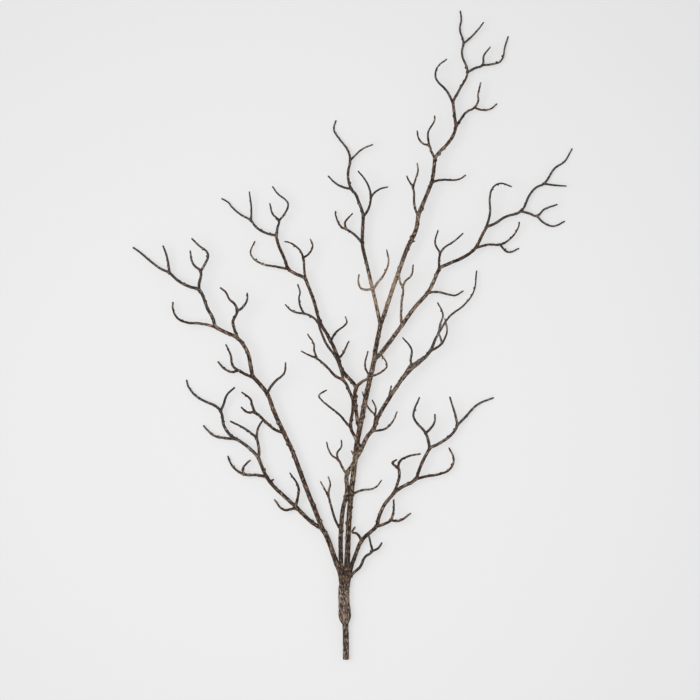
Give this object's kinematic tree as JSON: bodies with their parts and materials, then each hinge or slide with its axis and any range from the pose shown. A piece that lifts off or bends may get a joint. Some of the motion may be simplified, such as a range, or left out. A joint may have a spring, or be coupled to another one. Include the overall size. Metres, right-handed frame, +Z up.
{
  "type": "bare branching twig spray",
  "caption": "Bare branching twig spray lying flat: slender crooked limbs and forked twigs gathered in a rough collar on a thin cut stem, for display or set dressing.",
  "frame": {"origin": "on the surface that the spray lies on, below the middle of its bounding box", "axes": "+Y from the cut end of the stem towards the tallest tip, +X to the right, +Z up from the surface"},
  "size_m": [0.6162, 0.9082, 0.0474],
  "materials": {
    "limb_bark": "rough dark umber bark with tan flecks",
    "twig_bark": "rough dark grey-brown bark",
    "sleeve_bark": "coarse grainy brown bark"
  },
  "bodies": {
    "root": {"stem": "sleeve_bark", "collar": "sleeve_bark", "left_limb": "limb_bark", "left_upper_limb": "limb_bark", "left_upper_shoot": "limb_bark", "left_upper_crown": "twig_bark", "left_lower_limb": "limb_bark", "left_lower_shoot": "twig_bark", "centre_left_limb": "limb_bark", "crossing_limb": "limb_bark", "crossing_crown": "twig_bark", "middle_strand": "limb_bark", "thin_strand": "twig_bark", "centre_limb": "limb_bark", "inner_left_limb": "limb_bark", "inner_left_crown": "limb_bark", "inner_left_top": "limb_bark", "inner_left_tip": "twig_bark", "centre_neck": "limb_bark", "centre_crown": "limb_bark", "centre_tip": "twig_bark", "tall_limb": "limb_bark", "tall_limb_upper": "limb_bark", "tall_crown": "limb_bark", "tall_tip": "twig_bark", "right_limb": "limb_bark", "right_limb_outer": "limb_bark", "right_tip": "twig_bark", "lower_right_limb": "limb_bark", "lower_right_shoot": "limb_bark", "lower_right_crown": "twig_bark", "small_right_twig": "twig_bark"}
  },
  "joints": []
}
